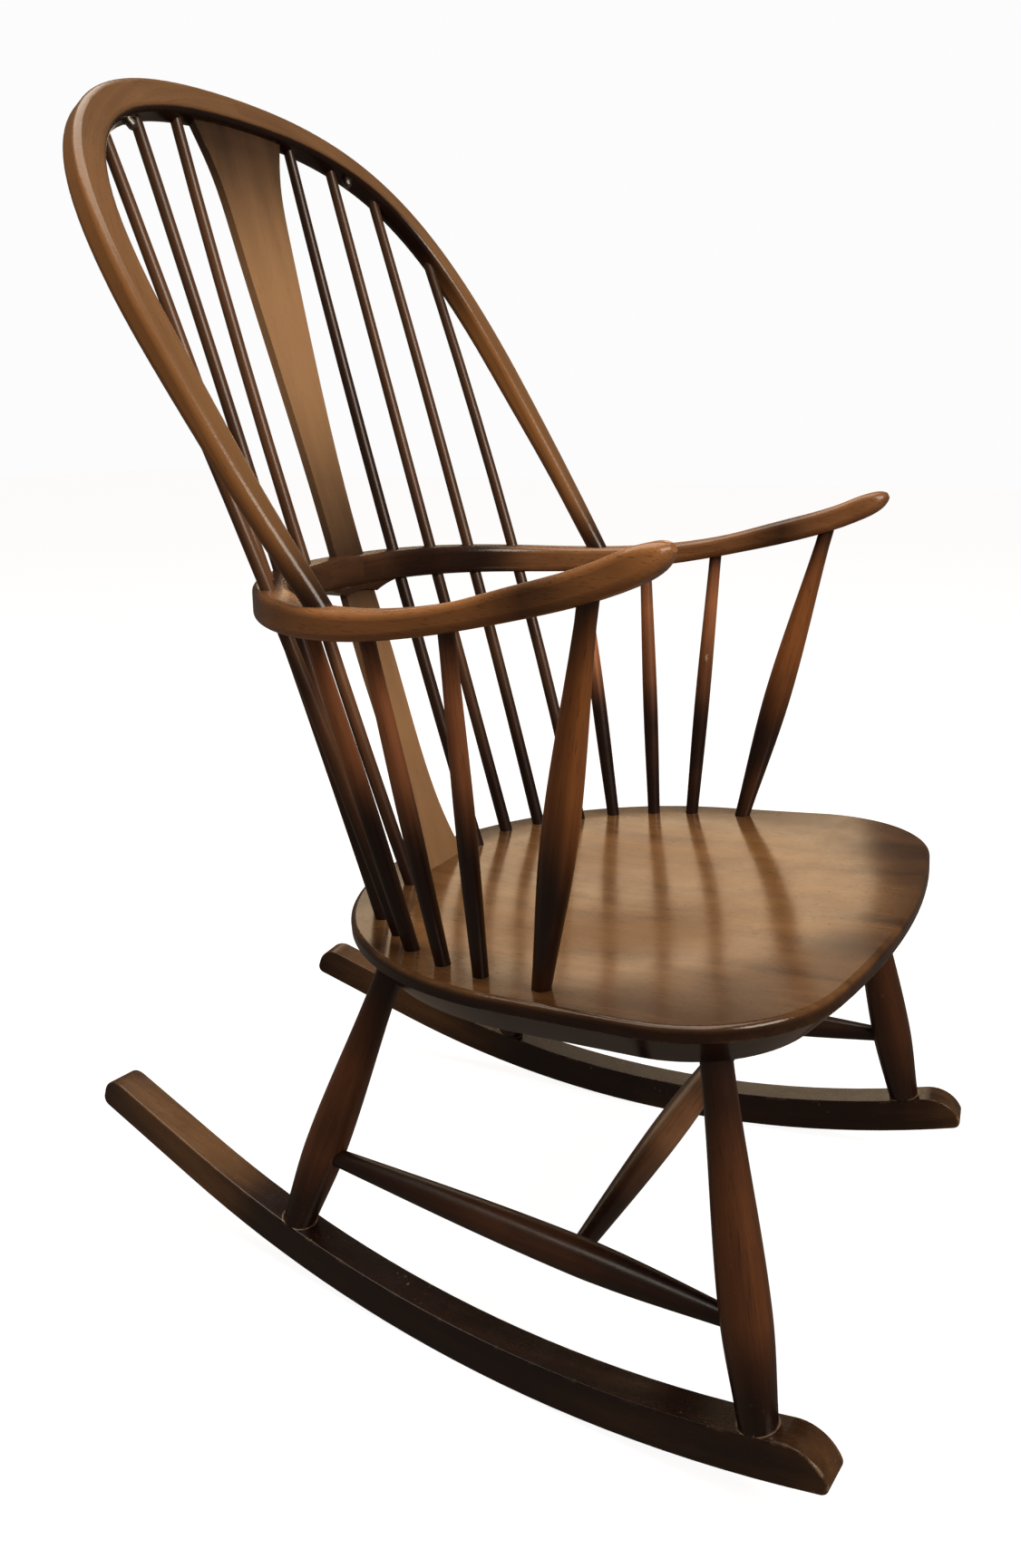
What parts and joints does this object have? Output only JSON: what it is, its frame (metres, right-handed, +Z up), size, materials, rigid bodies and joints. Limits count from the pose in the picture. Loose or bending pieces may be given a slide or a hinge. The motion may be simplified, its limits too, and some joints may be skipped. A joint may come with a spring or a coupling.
{
  "type": "rocking chair",
  "caption": "Wooden rocking armchair with a solid saddled seat, a bent arm bow, a tall bent hoop back with slim sticks and a shaped splat, turned legs and curved rocker blades.",
  "frame": {"origin": "on the floor under the middle of the overall box", "axes": "+Z up; the sitter faces -Y, so -Y is the front; +X is the sitter's left"},
  "size_m": [0.6094, 0.7679, 1.0427],
  "materials": {
    "seat_wood": "satin dark walnut-brown lacquer",
    "bent_wood": "semi-gloss dark walnut-brown lacquer",
    "turned_wood": "semi-gloss dark walnut-brown lacquer",
    "stud_metal": "polished with light wear"
  },
  "bodies": {
    "root": {"seat": "seat_wood", "arm_bow": "bent_wood", "back_hoop": "bent_wood", "splat": "bent_wood", "long_stick_left_1": "turned_wood", "long_stick_left_2": "turned_wood", "long_stick_left_3": "turned_wood", "long_stick_left_4": "turned_wood", "arm_stick_left_1": "turned_wood", "arm_stick_left_2": "turned_wood", "arm_stick_left_3": "turned_wood", "arm_support_left": "turned_wood", "leg_front_left": "turned_wood", "leg_rear_left": "turned_wood", "side_stretcher_left": "turned_wood", "rocker_left": "bent_wood", "stud_left": "stud_metal", "long_stick_right_1": "turned_wood", "long_stick_right_2": "turned_wood", "long_stick_right_3": "turned_wood", "long_stick_right_4": "turned_wood", "arm_stick_right_1": "turned_wood", "arm_stick_right_2": "turned_wood", "arm_stick_right_3": "turned_wood", "arm_support_right": "turned_wood", "leg_front_right": "turned_wood", "leg_rear_right": "turned_wood", "side_stretcher_right": "turned_wood", "rocker_right": "bent_wood", "stud_right": "stud_metal", "cross_stretcher": "turned_wood"}
  },
  "joints": []
}
